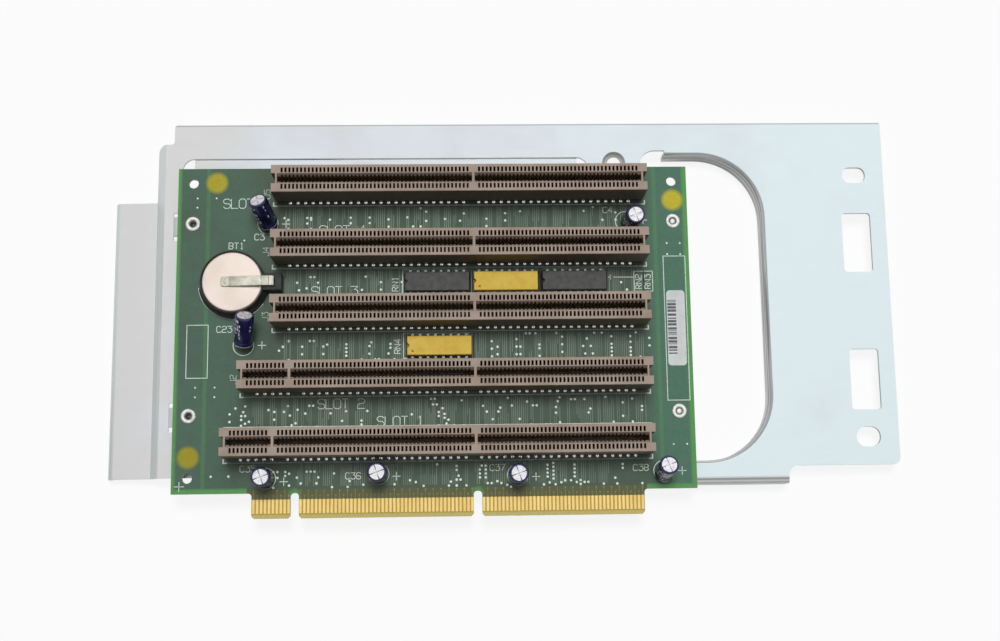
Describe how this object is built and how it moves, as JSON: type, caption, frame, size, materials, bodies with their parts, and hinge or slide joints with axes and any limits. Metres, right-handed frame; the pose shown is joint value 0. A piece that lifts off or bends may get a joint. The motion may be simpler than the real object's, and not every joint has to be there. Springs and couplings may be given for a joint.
{
  "type": "riser card",
  "caption": "Riser card with keyed card slots, coin cell and capacitors on a folded zinc-plated bracket; it plugs into a main board by its edge contacts and holds expansion cards.",
  "frame": {"origin": "middle of the bounding box, on the surface that the bracket's rear flanges lie on", "axes": "+X along the card slots, +Y away from the edge contacts, +Z out of the component face"},
  "size_m": [0.264, 0.134, 0.026],
  "materials": {
    "zinc_steel": "zinc plated, pale bluish satin",
    "laminate": "green solder mask over copper",
    "gold_plating": "gold flash",
    "slot_plastic": "moulded taupe brown",
    "holder_plastic": "moulded black",
    "cell_steel": "polished steel",
    "clip_steel": "plated spring steel",
    "can_sleeve": "navy film over aluminium",
    "tinned_wire": "tinned",
    "dark_pack": "moulded dark grey",
    "yellow_pack": "moulded ochre",
    "label_paper": "matt paper",
    "eyelet_metal": "tinned"
  },
  "bodies": {
    "root": {"battery_base_contact": "clip_steel", "battery_clip": "clip_steel", "battery_holder": "holder_plastic", "bracket": "zinc_steel", "capacitor_1_can": "can_sleeve", "capacitor_1_leads": "tinned_wire", "capacitor_2_can": "can_sleeve", "capacitor_2_leads": "tinned_wire", "capacitor_3_can": "can_sleeve", "capacitor_3_leads": "tinned_wire", "capacitor_4_can": "can_sleeve", "capacitor_4_leads": "tinned_wire", "capacitor_5_can": "can_sleeve", "capacitor_5_leads": "tinned_wire", "capacitor_6_can": "can_sleeve", "capacitor_6_leads": "tinned_wire", "capacitor_7_can": "can_sleeve", "capacitor_7_leads": "tinned_wire", "circuit_board": "laminate", "coin_cell": "cell_steel", "edge_contacts_back": "gold_plating", "edge_contacts_front": "gold_plating", "eyelets": "eyelet_metal", "label": "label_paper", "resistor_pack_1_body": "dark_pack", "resistor_pack_1_leads": "tinned_wire", "resistor_pack_2_body": "yellow_pack", "resistor_pack_2_leads": "tinned_wire", "resistor_pack_3_body": "dark_pack", "resistor_pack_3_leads": "tinned_wire", "resistor_pack_4_body": "yellow_pack", "resistor_pack_4_leads": "tinned_wire", "slot_1": "slot_plastic", "slot_2": "slot_plastic", "slot_3": "slot_plastic", "slot_4": "slot_plastic", "slot_5": "slot_plastic"}
  },
  "joints": []
}
